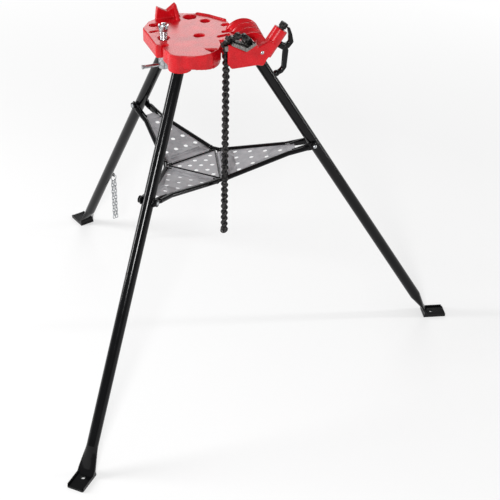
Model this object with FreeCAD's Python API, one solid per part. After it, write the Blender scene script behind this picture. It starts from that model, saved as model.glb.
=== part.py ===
"""Tripod chain vise stand: cast deck with chain vise and pipe bender on three folding tube legs.

Millimetres, +Z up. X runs across the jaw, Y along a pipe held in it, towards the back. The model is
built about the vertical line where the leg axes meet, then set down with the middle of its
footprint at the origin and its feet on z = 0.
"""
import os
import math
import FreeCAD, Part
from FreeCAD import Vector

os.makedirs("parts", exist_ok=True)

# ---- legs -------------------------------------------------------------------------------------
leg_count = 3
leg_turn = -135.0            # direction of the first leg, degrees from +X
leg_diameter = 30.0
leg_wall = 2.6
apex_height = 1088.0         # where the leg axes would meet
foot_circle = 684.5          # radius on which the axes reach the floor
leg_pin_drop = 26.0          # below the deck's top
leg_pin_diameter = 14.0
leg_pin_recess = 1.5         # pin ends inside the socket's wall
foot_bend_height = 17.0      # where the round tube ends and the flattened foot begins
foot_flat_length = 62.0      # crushed stretch above the bend
foot_plate_thickness = 6.0
foot_plate_width = 46.0
foot_plate_reach = 62.0      # flat beyond the bend
foot_hole = 11.0
foot_hole_reach = 21.0       # from the bend
foot_knee = 12.0
foot_corner = 4.0
foot_rim = 4.0               # raised edges of the foot plate
foot_rim_height = 4.0
foot_heel = 5.0              # plate behind the bend
leg_plug = 30.0              # solid top of the tube, round its pin
leg_fit = 0.05               # running clearance on radius
leg_gap = 0.5                # play between tube and socket
overcut = 1.0                # how far cutters run past a face

# ---- deck casting -----------------------------------------------------------------------------
deck_top = 931.0
deck_thickness = 8.0
skirt_depth = 35.0
skirt_wall = 8.0
skirt_drop = 9.0             # deeper skirt beside the yoke
skirt_drop_left = -70.0
skirt_drop_right = -10.0
lip_height = 5.0
lip_width = 6.0
socket_radius = 30.0
socket_depth = 48.0
socket_offset = 6.0          # socket centre beyond the leg pin
leg_room_depth = 77.0        # cavity for the folding leg, along the tube
leg_room_back = 34.0         # and inwards from the pin
front_arc_radius = 73.0
front_arc_x = -46.0
front_arc_y = -57.0
deck_left = -130.0
deck_left_front = -34.0      # front end of the straight left side
deck_left_back = 76.0
deck_joint = -60.0           # where the straight sides run into the round front
deck_arch = ((88, 54, 10), (58, 96, 36), (30, 122, 36), (-10, 138, 30), (-62, 134, 16),
             (-104, 110, 12))  # corners of the arched back, with their fillets
deck_corner = 8.0
rest_x = -48.0               # pipe rest saddle, middle
rest_y = 124.0
rest_width = 50.0
rest_thickness = 16.0
rest_height = 27.0
rest_valley = 9.0
rest_flare = 7.0             # foot wider than the horns, each side
rest_shoulder = 2.0
rest_left_drop = 4.0         # left horn lower than the right one
rest_rib_width = 9.0
rest_rib_length = 24.0
bed_left = 33.0              # casting under the drum
bed_back = 12.0
bed_right = 118.0
bed_step = 26.0              # width of the bed's back edge
bed_corner = 13.0
lip_start = 12.0             # lip begins this far right of the pipe rest
lip_end = 38.0               # and ends this far behind the bed
deck_slots = ((6, 104, 34, 30, 0), (35, 67, 25, 22, 0), (-10, -14, 27, 22, 0), (-97, 84, 26, 18, 0),
              (-110, 46, 24, 9, 8), (77, 27, 24, 15, 0), (66, -12, 30, 12, 8), (48, -35, 36, 11, 8),
              (-118, -45, 34, 13, 14))  # tool holes: x, y, length, width, turn
taper_hole = ((-25, -92), (8, -103), (-14, -119))

# ---- bender drum ------------------------------------------------------------------------------
drum_x = 110.0
drum_sink = 28.0             # axis below the deck's top
drum_back = 2.0
drum_pitch = 24.0            # ridge to ridge
drum_grooves = 3
drum_ridge_width = 5.0
drum_radius = 51.0           # largest ridge, at the back
drum_step = 3.0              # each ridge is this much lower than the one behind it
groove_depth = 5.0
drum_chamfer = 1.2

# ---- vise yoke --------------------------------------------------------------------------------
yoke_front = -142.0
yoke_depth = 46.0
yoke_left = 20.0
yoke_height = 42.0           # from its bottom to the valley of the seat
yoke_lip = 6.0               # front wall beside the chain's channel
channel_back = -118.0
channel_right = 29.5
seat_x = 68.0                # valley of the V seat
seat_drop = 1.0              # and below the deck's top
seat_half_angle = 61.0       # each flank from the vertical
seat_left_reach = 46.0
seat_right_reach = 29.0
boss_diameter = 36.5
boss_tilt = 35.0             # screw boss from the vertical, towards +X
boss_top_x = 166.0
boss_rise = 39.0             # its top above the seat's valley
boss_length = 74.0
boss_floor = 20.0            # solid end of the boss under the screw
boss_neck = 36.0             # the web joins the boss this far below its top
web_depth = 15.0             # web between the seat and the boss, along Y
web_x = 125.0                # hollow of its upper edge
web_rise = 17.0              # above the seat's valley
web_start_rise = 6.0         # where it leaves the seat
web_fillet = 22.0
block_right = 134.0          # full-depth block behind the web
block_right_drop = 18.0      # its edge below the seat's valley
block_shelf_drop = 8.0
yoke_corner_width = 10.0     # cut corner at the lower left
yoke_corner_height = 15.0
yoke_foot_left = 100.0       # rounded foot under the jaw's right end
yoke_foot_right = 114.0
yoke_foot_drop = 5.0
yoke_flank_x = 124.0
yoke_flank_rise = 12.0
yoke_shoulder = 4.0          # flat right of the jaw
yoke_fillet = 3.5
yoke_round = 8.0             # corners of the yoke's outline
seat_round = 1.5
yoke_overhang = 1.0          # yoke's front face in front of the boss

# ---- jaw --------------------------------------------------------------------------------------
jaw_thickness = 9.0
jaw_tooth_pitch = 6.0
jaw_tooth_depth = 2.2
jaw_overhang = 1.5
jaw_slot_front = -136.5      # room for the chain between the toothed plates
jaw_slot_back = -117.5
jaw_web = 2.5
jaw_mouth = 3.0              # slot right through the web this far past the channel
jaw_pin_x = 110.0
jaw_pin_drop = 9.0           # below the seat's valley
jaw_pin_radius = 6.5
jaw_pin_rise = 2.1           # domed head proud of the yoke

# ---- chain ------------------------------------------------------------------------------------
chain_pitch = 17.3
chain_plate_width = 16.5
chain_waist = 10.0
chain_plate = 2.6
chain_gap = 0.15             # between neighbouring plates
chain_pin_diameter = 6.0
chain_pin_proud = 1.2
chain_x = 20.0
chain_y = -127.0
lead_rise = 21.5             # top pin beside the jaw, above the seat's valley
chain_bottom = 415.0
chain_hole_fit = 0.05
lead_links = 5               # from the hanging run up to the notch
arch_turns = (38, 20, -16, -47)  # headings of the links over the jaw, degrees above +X
anchor_rise = 20.0           # top of the prongs, above the deck
anchor_reach = 9.0           # left of the yoke
anchor_height = 13.0
anchor_nose = 4.0
lug_start = 14.0             # foot of the lug along the seat's right flank
lug_end = 27.0
lug_radius = 7.0
ring_radius = 9.0
ring_wire = 2.0
ring_play = 0.3              # between ring and last pin

# ---- chain screw and handle -------------------------------------------------------------------
screw_diameter = 15.0
screw_fit = 0.06
screw_block = 16.0
screw_block_height = 15.0
block_chamfer = 1.5
screw_rise = 3.0             # block above the boss
screw_depth = 42.0           # shank inside the boss
stub_diameter = 11.0
stub_depth = 6.0             # let into the boss
stub_length = 9.0
handle_drop = 35.0           # handle's axis below the boss's top
handle_gap = 1.0             # between hub and boss
handle_hub_radius = 9.0
handle_hub_width = 15.0
handle_knob = 8.5
arm_thickness = 12.0
arm_edge = 2.2
arm_round = 0.8              # fillet of the arm's outline, of its half width
crescent = ((14, 0, 8), (24, 8, 7.5), (26, 20, 6.5), (13, 34, 4.5), (-3, 47, 3))  # out, rise, half width
crank = ((12, 1, 7), (27, -5, 7), (51, -44, 6), (50, -56, 6), (43, -67, 5))

# ---- tray -------------------------------------------------------------------------------------
tray_height = 546.0
tray_pivot_height = 603.0    # tray pivots on the legs
tray_corner_radius = 105.3
sheet = 2.2
crease_rod = 6.0
knuckle_wall = 2.2
knuckle_length = 24.0
edge_rod = 9.0
fork_length = 74.0           # leg pivot to the end of the fork's slot
fork_thickness = 4.0
fork_gap = 0.7               # between fork cheek and tube
fork_height = 20.0
tray_hole = 12.5
tray_play = 0.4
fork_overlap = 26.0          # fork over the end of the wing
fork_nose = 13.0             # cheek past the pivot
fork_round = 7.0
fork_bolt_radius = 9.5
fork_bolt_head = 6.0
fork_web = 4.0
wing_margin = 12.0           # panel's corners in from the crease's ends
wing_ribs = ((18, 104), (25, 92))  # pressed ribs beside the crease: distance, length
rib_radius = 1.8
wing_holes = (4, 3, 2)       # holes in each row, from the crease outwards
wing_hole_start = 46.0
wing_hole_row = 40.0
wing_hole_step = 32.0
centre_holes = ((30, 6), (58, 3))  # rings of holes: radius, count
tab_length = 12.0

# ---- ceiling brace screw ----------------------------------------------------------------------
brace_x = -99.0
brace_y = 0.0
brace_diameter = 19.0
brace_fit = 0.06
brace_head_width = 27.0
brace_head_height = 17.0
brace_head_rise = 19.0       # its base above the deck
brace_notch = 6.4
brace_notch_depth = 8.0
brace_notch_turn = 20.0
brace_taper = 3.0
brace_guide_wall = 7.0
brace_guide_drop = 4.0
brace_sink = 6.0
brace_hub_diameter = 27.0
brace_hub_length = 40.0
brace_hub_round = 1.5
brace_hub_gap = 0.5          # under the guide
brace_bar_rise = 9.0         # cross bore above the hub's bottom
brace_bore_rise = 18.0       # screw bore starts here
brace_screw_gap = 2.5        # screw's end above the floor of that bore
brace_bar_diameter = 9.0
brace_bar_length = 80.0
brace_bar_right = 21.5       # bar's right end from the screw's axis
brace_bar_end = 4.0
brace_bar_upset = 1.2

# ---- keeper chain -----------------------------------------------------------------------------
keeper_height = 250.0        # of its eye on the back leg
keeper_wire = 2.4
keeper_link_length = 17.0
keeper_link_width = 9.5
keeper_links = 12
keeper_ring_width = 20.0
keeper_ring_length = 22.0
keeper_play = 0.4            # between linked wires
keeper_offset = 13.0         # eye's hole beside the tube
keeper_plate = 2.0
keeper_plate_half = 5.6
keeper_hole = 6.8
keeper_seat = 1.2            # top wire above the rim of the eye's hole

up = Vector(0, 0, 1)
leg_lean = math.atan2(foot_circle, apex_height)
leg_radius = leg_diameter / 2
deck_under = deck_top - deck_thickness
skirt_bottom = deck_top - skirt_depth
leg_pin_height = deck_top - leg_pin_drop
drum_axis_height = deck_top - drum_sink
seat_height = deck_top - seat_drop
yoke_bottom = seat_height - yoke_height
boss_top_height = seat_height + boss_rise
jaw_pin_height = seat_height - jaw_pin_drop
chain_top = seat_height + lead_rise - chain_pitch * lead_links  # first pin of the hanging run
brace_head_base = deck_top + brace_head_rise


def leg_axis_radius(height):
    return foot_circle * (1 - height / apex_height)


def turned(shape, degrees):
    return shape.rotated(Vector(0, 0, 0), up, degrees)


def fused(shapes):
    result = shapes[0].fuse(shapes[1:]) if len(shapes) > 1 else shapes[0]
    return result.removeSplitter()


def rod(start, end, radius):
    return Part.makeCylinder(radius, (end - start).Length, start, end - start)


def box(x0, x1, y0, y1, z0, z1):
    return Part.makeBox(x1 - x0, y1 - y0, z1 - z0, Vector(x0, y0, z0))


def rounded_face(corners):
    """Face inside a closed outline of (point, fillet radius) corners."""
    edges = []
    entries = []
    for index, (point, radius) in enumerate(corners):
        before = (corners[index - 1][0] - point).normalize()
        after = (corners[(index + 1) % len(corners)][0] - point).normalize()
        half = before.getAngle(after) / 2
        if radius <= 0:
            entries.append((point, point, None))
            continue
        reach = radius / math.tan(half)
        inward = (before + after).normalize()
        centre = point + inward * (radius / math.sin(half))
        entries.append((point + before * reach, point + after * reach, centre - inward * radius))
    for index, (start, end, middle) in enumerate(entries):
        if middle is not None:
            edges.append(Part.Arc(start, middle, end).toShape())
        following = entries[(index + 1) % len(entries)][0]
        if (following - end).Length > 1e-6:
            edges.append(Part.LineSegment(end, following).toShape())
    return Part.Face(Part.Wire(edges))


def plan(corners, bottom, top):
    """Upright solid over an outline given as (x, y, fillet radius)."""
    face = rounded_face([(Vector(x, y, bottom), radius) for x, y, radius in corners])
    return face.extrude(Vector(0, 0, top - bottom))


def elevation(corners, front, back):
    """Solid with its outline (x, z, fillet radius) seen along Y."""
    face = rounded_face([(Vector(x, front, z), radius) for x, z, radius in corners])
    return face.extrude(Vector(0, back - front, 0))


# ---- deck casting -----------------------------------------------------------------------------
yoke_back = yoke_front + yoke_depth


def deck_outline(inset):
    """Deck plan: round front, straight left side, arched back, bed under the drum."""
    front = Part.makeCylinder(front_arc_radius - inset, skirt_depth,
                              Vector(front_arc_x, front_arc_y, skirt_bottom))
    left = deck_left + inset
    corners = [
        (left, deck_left_front + inset, deck_corner), (front_arc_x, deck_joint + inset, 0),
        (bed_left + inset, deck_joint + inset, 0), (bed_left + inset, yoke_back + inset, 0),
        (bed_right - inset, yoke_back + inset, bed_corner),
        (bed_right - inset, bed_back - inset, bed_corner),
        (bed_right - bed_step - inset, bed_back - inset, deck_corner)]
    for x, y, fillet in deck_arch:
        slope = math.atan2(y, x)
        corners.append((x - inset * math.cos(slope), y - inset * math.sin(slope), fillet))
    corners.append((left, deck_left_back, bed_corner))
    body = plan(corners, skirt_bottom, deck_top)
    return fused([front, body])


def socket_centre(index):
    radius = leg_axis_radius(leg_pin_height) + socket_offset
    angle = math.radians(leg_turn + 360 / leg_count * index)
    return Vector(radius * math.cos(angle), radius * math.sin(angle), 0)


def leg_sockets():
    """Round bosses under the deck that hold the legs' pins."""
    return [Part.makeCylinder(socket_radius, socket_depth,
                              socket_centre(index) + up * (deck_top - socket_depth))
            for index in range(leg_count)]


def front_skirt():
    """Strip that deepens the round front's skirt towards the yoke."""
    centre = Vector(front_arc_x, front_arc_y, skirt_bottom - skirt_drop)
    ring = Part.makeCylinder(front_arc_radius, skirt_drop, centre)
    ring = ring.cut(Part.makeCylinder(front_arc_radius - skirt_wall, skirt_drop, centre))
    right = front_arc_x + front_arc_radius
    reach = front_arc_y - front_arc_radius
    wedge = elevation([(skirt_drop_left, skirt_bottom, 0), (skirt_drop_right, centre.z, 0),
                       (right, centre.z, 0), (right, skirt_bottom, 0)], reach, deck_joint)
    return ring.common(wedge)


def leg_space():
    """Room that the first leg needs in its socket, from spread to folded, along +X."""
    pivot = Vector(leg_axis_radius(leg_pin_height), 0, leg_pin_height)
    radius = leg_radius + leg_gap
    outward = Vector(math.sin(leg_lean), 0, -math.cos(leg_lean))
    spread = rod(pivot, pivot + outward * leg_room_depth, radius)
    side = Vector(0, radius, 0)
    wedge = Part.Face(Part.makePolygon([
        pivot - side, pivot - side + outward * leg_room_depth,
        pivot - side - up * leg_room_depth, pivot - side - Vector(radius, 0, 0), pivot - side]))
    inner = box(pivot.x - leg_room_back, pivot.x, -radius, radius,
                leg_pin_height - leg_room_depth, leg_pin_height)
    dome = Part.makeSphere(radius, pivot)
    round_top = rod(pivot - side, pivot + side, radius)
    return fused([spread, wedge.extrude(side * 2), inner, dome, round_top])


def slot(x, y, length, width, degrees, depth):
    """Upright round-ended cutter through the deck plate."""
    bottom = deck_top - depth
    half = (length - width) / 2
    shape = box(-half, half, -width / 2, width / 2, bottom, deck_top + overcut)
    ends = [Part.makeCylinder(width / 2, depth + overcut, Vector(side * half, 0, bottom))
            for side in (-1, 1)]
    shape = turned(fused([shape] + ends), degrees)
    return shape.translated(Vector(x, y, 0))


def pipe_rest():
    """Crown-shaped saddle on the back left of the deck, with splayed horns and a rib."""
    half = rest_width / 2
    foot = half + rest_flare
    front = rest_y - rest_thickness / 2
    top = deck_top + rest_height
    saddle = elevation([
        (rest_x - foot, deck_under, 0), (rest_x - foot, deck_top + rest_shoulder, 0),
        (rest_x - half, top - rest_left_drop, 1.5), (rest_x, deck_top + rest_valley, 4),
        (rest_x + half, top, 1.5), (rest_x + foot, deck_top + rest_shoulder, 0),
        (rest_x + foot, deck_under, 0)], front, front + rest_thickness)
    right = rest_x + half
    profile = [Vector(right, front, top - rest_shoulder), Vector(right, front, deck_under),
               Vector(right, front - rest_rib_length, deck_under),
               Vector(right, front - rest_rib_length, deck_top + rest_shoulder)]
    rib = Part.Face(Part.makePolygon(profile + profile[:1])).extrude(Vector(-rest_rib_width, 0, 0))
    return fused([saddle, rib])


def deck_lip():
    """Raised rim along the arched back, right of the pipe rest."""
    rim = deck_outline(0).translated(Vector(0, 0, lip_height))
    rim = rim.cut(deck_outline(lip_width).translated(Vector(0, 0, lip_height + overcut)))
    stretch = box(rest_x + rest_width / 2 + lip_start, bed_right, bed_back + lip_end, bed_right,
                  deck_top - overcut, deck_top + lip_height)
    return rim.common(stretch)


def base_casting():
    """Deck with its skirt, leg sockets, pipe rest, lip, tool holes and brace screw guide."""
    shell = deck_outline(0)
    shell = shell.cut(deck_outline(skirt_wall).translated(Vector(0, 0, -deck_thickness)))
    brace_foot = Vector(brace_x, brace_y, skirt_bottom - brace_guide_drop)
    brace_radius = brace_diameter / 2
    guide = Part.makeCylinder(brace_radius + brace_guide_wall, deck_top - brace_foot.z, brace_foot)
    shell = fused([shell, guide, front_skirt()] + leg_sockets())
    pivot = Vector(leg_axis_radius(leg_pin_height), 0, leg_pin_height)
    side = Vector(0, socket_radius + overcut, 0)
    pin = rod(pivot - side, pivot + side, leg_pin_diameter / 2)
    for index in range(leg_count):
        angle = leg_turn + 360 / leg_count * index
        shell = shell.cut([turned(leg_space(), angle), turned(pin, angle)])
    shell = fused([shell, deck_lip(), pipe_rest()])
    through = skirt_depth + socket_depth
    cutters = [slot(*place, through) for place in deck_slots]
    cutters.append(plan([(x, y, 1) for x, y in taper_hole], deck_top - through, deck_top + overcut))
    cutters.append(Part.makeCylinder(brace_radius + brace_fit, through,
                                     Vector(brace_x, brace_y, deck_top - through + overcut)))
    cutters.append(Part.makeCone(brace_radius + brace_fit, brace_radius + brace_sink, brace_sink,
                                 Vector(brace_x, brace_y, deck_top - brace_sink)))
    return shell.cut(cutters)


# ---- bender drum ------------------------------------------------------------------------------
def bender_drum():
    """Half drum of stepped ridges with round pipe grooves between them, seated on the deck."""
    half_ridge = drum_ridge_width / 2
    rows = drum_pitch * drum_grooves
    profile = [(0, drum_back + half_ridge)]
    for number in range(drum_grooves + 1):
        top = drum_radius - drum_step * number
        middle = drum_back - drum_pitch * number
        profile.append((top - drum_chamfer, middle + half_ridge))
        profile.append((top, middle + half_ridge - drum_chamfer))
        profile.append((top, middle - half_ridge + drum_chamfer))
        profile.append((top - drum_chamfer, middle - half_ridge))
    profile.append((0, drum_back - rows - half_ridge))
    points = [Vector(drum_x + radius, y, drum_axis_height) for radius, y in profile]
    face = Part.Face(Part.makePolygon(points + points[:1]))
    drum = face.revolve(Vector(drum_x, 0, drum_axis_height), Vector(0, 1, 0), 360)
    groove_half = (drum_pitch - drum_ridge_width) / 2
    ring_radius = (groove_half ** 2 + groove_depth ** 2) / (2 * groove_depth)
    for number in range(drum_grooves):
        middle = drum_back - drum_pitch * (number + 0.5)
        lip_radius = drum_radius - drum_step * (number + 0.5) - drum_chamfer
        ring = Part.makeTorus(lip_radius - groove_depth + ring_radius, ring_radius,
                              Vector(drum_x, middle, drum_axis_height), Vector(0, 1, 0))
        drum = drum.cut(ring)
    reach = drum_radius + overcut
    above = box(drum_x - reach, drum_x + reach, drum_back - rows - drum_pitch,
                drum_back + drum_pitch, skirt_bottom, deck_top + drum_radius)
    return drum.common(above).cut([deck_outline(0)] + leg_sockets())


# ---- vise yoke --------------------------------------------------------------------------------
boss_axis = Vector(math.sin(math.radians(boss_tilt)), 0, math.cos(math.radians(boss_tilt)))
boss_side = Vector(boss_axis.z, 0, -boss_axis.x)
boss_y = yoke_front + boss_diameter / 2 + yoke_overhang
boss_top = Vector(boss_top_x, boss_y, boss_top_height)
handle_root = boss_top - boss_axis * handle_drop + boss_side * (boss_diameter / 2)


def seat_point(side, along, lift):
    """Point on a flank of the V seat, lifted square off it."""
    angle = math.radians(seat_half_angle)
    flank = Vector(side * math.sin(angle), 0, math.cos(angle))
    normal = Vector(-side * math.cos(angle), 0, math.sin(angle))
    return Vector(seat_x, 0, seat_height) + flank * along + normal * lift


def handle_point(out, rise):
    """Point in the handle's plane: out from the boss's flank, rise along the boss."""
    return handle_root + boss_side * out + boss_axis * rise


def vise_yoke():
    """Block with the V seat, a web in front of the round boss, and the chain's channel."""
    left = seat_point(-1, seat_left_reach, 0)
    right = seat_point(1, seat_right_reach, 0)
    half = boss_diameter / 2
    foot = yoke_bottom - yoke_foot_drop
    lower = [
        (yoke_left, yoke_bottom + yoke_corner_height, yoke_round / 2),
        (yoke_left + yoke_corner_width, yoke_bottom, yoke_round),
        (yoke_foot_left, yoke_bottom, yoke_round), (yoke_foot_right, foot, yoke_round),
        (yoke_flank_x, yoke_bottom + yoke_flank_rise, yoke_round)]
    seat = [(right.x, right.z, seat_round), (seat_x, seat_height, 0), (left.x, left.z, seat_round),
            (yoke_left, left.z, seat_round)]
    shoulder = right.x + yoke_shoulder
    block = elevation(lower + [(block_right, seat_height - block_right_drop, yoke_round),
                               (shoulder, seat_height - block_shelf_drop, 0),
                               (shoulder, right.z, seat_round)] + seat, yoke_front, yoke_back)
    neck = boss_top - boss_axis * boss_neck
    outer_neck = neck + boss_side * (half / 2)
    inner_neck = neck - boss_side * half
    web = elevation(lower + [
        (outer_neck.x, outer_neck.z, yoke_round), (inner_neck.x, inner_neck.z, 0),
        (web_x, seat_height + web_rise, web_fillet), (shoulder, seat_height + web_start_rise, 0)],
        yoke_front, yoke_front + web_depth)
    body = fused([block, web])
    body = body.makeFillet(yoke_fillet, [edge for edge in body.Edges if is_front_rim(edge)])
    boss = rod(boss_top - boss_axis * boss_length, boss_top, half)
    body = fused([body, boss])
    bore = rod(boss_top - boss_axis * (boss_length - boss_floor), boss_top + boss_axis,
               screw_diameter / 2 + screw_fit)
    channel = box(yoke_left - overcut, channel_right, yoke_front + yoke_lip, channel_back,
                  foot, left.z + overcut)
    stub = rod(handle_point(-stub_depth, 0), handle_point(overcut, 0), stub_diameter / 2)
    return body.cut([bore, channel, stub])


def is_front_rim(edge):
    """Outer edges of the yoke's front face, without the V seat and the boss."""
    bounds = edge.BoundBox
    flat = abs(bounds.YMin - yoke_front) < 1e-3 and abs(bounds.YMax - yoke_front) < 1e-3
    middle = edge.CenterOfMass
    in_seat = middle.z > seat_height - overcut and middle.x < seat_x + seat_right_reach + yoke_fillet
    return flat and not in_seat


def pipe_jaw():
    """V jaw: flanks with rows of teeth across the pipe, slotted in the middle for the chain."""
    angle = math.radians(seat_half_angle)
    valley_top = Vector(seat_x, 0, seat_height + jaw_thickness / math.sin(angle))
    flanks = []
    for side, reach in ((-1, seat_left_reach), (1, seat_right_reach)):
        points = [seat_point(side, 0, 0), seat_point(side, reach, 0),
                  seat_point(side, reach, jaw_thickness)]
        start = jaw_thickness / math.tan(angle)
        count = int((reach - start) / jaw_tooth_pitch)
        for number in range(count):
            along = reach - number * jaw_tooth_pitch
            points.append(seat_point(side, along - jaw_tooth_pitch / 2,
                                     jaw_thickness - jaw_tooth_depth))
            points.append(seat_point(side, along - jaw_tooth_pitch, jaw_thickness))
        points.append(valley_top)
        points.append(points[0])
        shift = Vector(0, yoke_front - jaw_overhang, 0)
        wire = Part.makePolygon([point + shift for point in points])
        flanks.append(Part.Face(wire).extrude(Vector(0, yoke_depth + jaw_overhang, 0)))
    web_valley = seat_point(1, 0, 0) + up * (jaw_web / math.sin(angle))
    left = seat_point(-1, seat_left_reach + overcut, jaw_web)
    right = seat_point(1, seat_right_reach + overcut, jaw_web)
    rise = up * (jaw_thickness * 2)
    room = [left, web_valley, right, right + rise, left + rise, left]
    wire = Part.makePolygon([point + Vector(0, jaw_slot_front, 0) for point in room])
    room = Part.Face(wire).extrude(Vector(0, jaw_slot_back - jaw_slot_front, 0))
    mouth = box(left.x - jaw_mouth, channel_right + jaw_mouth, jaw_slot_front, jaw_slot_back,
                seat_height, left.z + jaw_thickness)
    return fused(flanks).cut([room, mouth])


def jaw_pin():
    """Domed head of the pin that holds the jaw in the yoke."""
    centre = Vector(jaw_pin_x, yoke_front + jaw_pin_radius - jaw_pin_rise, jaw_pin_height)
    front = Part.makeCylinder(jaw_pin_radius, jaw_pin_radius, centre - Vector(0, centre.y - yoke_front, 0),
                              Vector(0, -1, 0))
    return Part.makeSphere(jaw_pin_radius, centre).common(front)


def chain_anchor():
    """Pair of hooked prongs on the yoke's left face, one each side of the chain."""
    left = yoke_left - anchor_reach
    top = deck_top + anchor_rise
    prongs = []
    for front in (yoke_front + overcut, channel_back):
        back = front + yoke_lip - overcut
        prongs.append(elevation([
            (left, top - anchor_height, anchor_nose), (yoke_left, top - anchor_height, 0),
            (yoke_left, top, 0), (left, top, anchor_nose)], front, back))
    return Part.makeCompound(prongs)


def chain_lug():
    """Lug on the right flank of the seat that holds the chain's fixed end."""
    pin = lead_points()[0]
    side = Vector(0, chain_plate, 0)
    across = (seat_point(1, lug_end, 0) - seat_point(1, lug_start, 0)).normalize() * lug_radius
    web = [seat_point(1, lug_start, jaw_web), seat_point(1, lug_end, jaw_web)]
    web = [Vector(point.x, pin.y, point.z) for point in web] + [pin + across, pin - across]
    body = Part.Face(Part.makePolygon([point - side for point in web + web[:1]])).extrude(side * 2)
    eye = rod(pin - side, pin + side, lug_radius)
    hole = rod(pin - side * 2, pin + side * 2, chain_pin_diameter / 2 + chain_hole_fit)
    return fused([body, eye]).cut(hole)


# ---- chain ------------------------------------------------------------------------------------
chain_stack = chain_plate * 4 + chain_gap * 2


def link_plate(start, end, normal, thickness, centre_offset):
    """Waisted link plate between two pins, as thick as given along the pins."""
    along = (end - start).normalize()
    side = normal.cross(along)
    half = chain_plate_width / 2
    shift = normal * (centre_offset - thickness / 2)
    lobes = [Part.makeCylinder(half, thickness, p + shift, normal) for p in (start, end)]
    waist = [start + side * (chain_waist / 2), end + side * (chain_waist / 2),
             end - side * (chain_waist / 2), start - side * (chain_waist / 2)]
    bar = Part.Face(Part.makePolygon([p + shift for p in waist + waist[:1]]))
    return lobes[0].fuse([lobes[1], bar.extrude(normal * thickness)])


def chain_run(points, normal, first_outer):
    """Links over a list of pin places: outer pairs and inner doubles in turn, and the pins."""
    plates = []
    pins = []
    inner = chain_plate * 2
    offset = chain_plate * 1.5 + chain_gap
    for number in range(len(points) - 1):
        start, end = points[number], points[number + 1]
        if (number % 2 == 0) == first_outer:
            plates.append(link_plate(start, end, normal, chain_plate, offset))
            plates.append(link_plate(start, end, normal, chain_plate, -offset))
        else:
            plates.append(link_plate(start, end, normal, inner, 0))
    reach = chain_stack / 2 + chain_pin_proud
    for point in points:
        pins.append(rod(point - normal * reach, point + normal * reach, chain_pin_diameter / 2))
    holes = [rod(point - normal * reach, point + normal * reach,
                 chain_pin_diameter / 2 + chain_hole_fit) for point in points]
    holed = [plate.cut(holes) for plate in plates]
    return holed, pins


def hanging_points():
    count = int(round((chain_top - chain_bottom) / chain_pitch))
    return [Vector(chain_x, chain_y, chain_top - chain_pitch * n) for n in range(count + 1)]


def lead_points():
    """Pins from the lug, over the jaw and down the channel to the top of the hanging run."""
    top = Vector(chain_x, chain_y, chain_top + chain_pitch * lead_links)
    arch = [top]
    for heading in arch_turns:
        angle = math.radians(heading)
        arch.append(arch[-1] + Vector(math.cos(angle), 0, math.sin(angle)) * chain_pitch)
    down = [top - up * chain_pitch * (n + 1) for n in range(lead_links)]
    return arch[::-1] + down


def vise_chain():
    plates, pins = chain_run(hanging_points(), Vector(0, 1, 0), False)
    last = hanging_points()[-1]
    inside = ring_radius - ring_wire
    ring = Part.makeTorus(ring_radius, ring_wire,
                          last - up * (inside - chain_pin_diameter / 2 - ring_play), Vector(0, 1, 0))
    return Part.makeCompound(plates), Part.makeCompound(pins), ring


# ---- chain screw and handle -------------------------------------------------------------------
def chain_screw():
    shank = rod(boss_top - boss_axis * screw_depth, boss_top + boss_axis * (screw_rise + overcut),
                screw_diameter / 2)
    half = screw_block / 2
    block = box(-half, half, -half, half, 0, screw_block_height)
    block = block.makeChamfer(block_chamfer, block.Edges)
    block.rotate(Vector(0, 0, 0), Vector(0, 1, 0), boss_tilt)
    block.translate(boss_top + boss_axis * screw_rise)
    return fused([shank, block])


def handle_stub():
    return rod(handle_point(-stub_depth, 0), handle_point(stub_length, 0), stub_diameter / 2)


def forged_arm(profile):
    """Flat forged arm of the handle through its (out, rise, half width) stations."""
    points = [handle_point(out, rise) for out, rise, half in profile]
    front = Vector(0, -arm_thickness / 2, 0)
    near = []
    far = []
    for number, (out, rise, half) in enumerate(profile):
        along = points[min(number + 1, len(points) - 1)] - points[max(number - 1, 0)]
        side = along.normalize().cross(Vector(0, 1, 0)) * half
        near.append((points[number] + side + front, half * arm_round))
        far.append((points[number] - side + front, half * arm_round))
    arm = rounded_face(near + far[::-1]).extrude(front * -2)
    rims = [edge for edge in arm.Edges if edge.BoundBox.YLength < 1e-3]
    return arm.makeFillet(arm_edge, rims)


def screw_handle():
    hub = rod(handle_point(handle_gap, 0), handle_point(handle_gap + handle_hub_width, 0),
              handle_hub_radius)
    knob = Part.makeSphere(handle_knob, handle_point(*crank[-1][:2]), Vector(0, 1, 0))
    bore = rod(handle_point(-stub_depth, 0), handle_point(stub_length + handle_gap, 0),
               stub_diameter / 2 + screw_fit)
    return fused([hub, forged_arm(crescent), forged_arm(crank), knob]).cut(bore)


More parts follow.
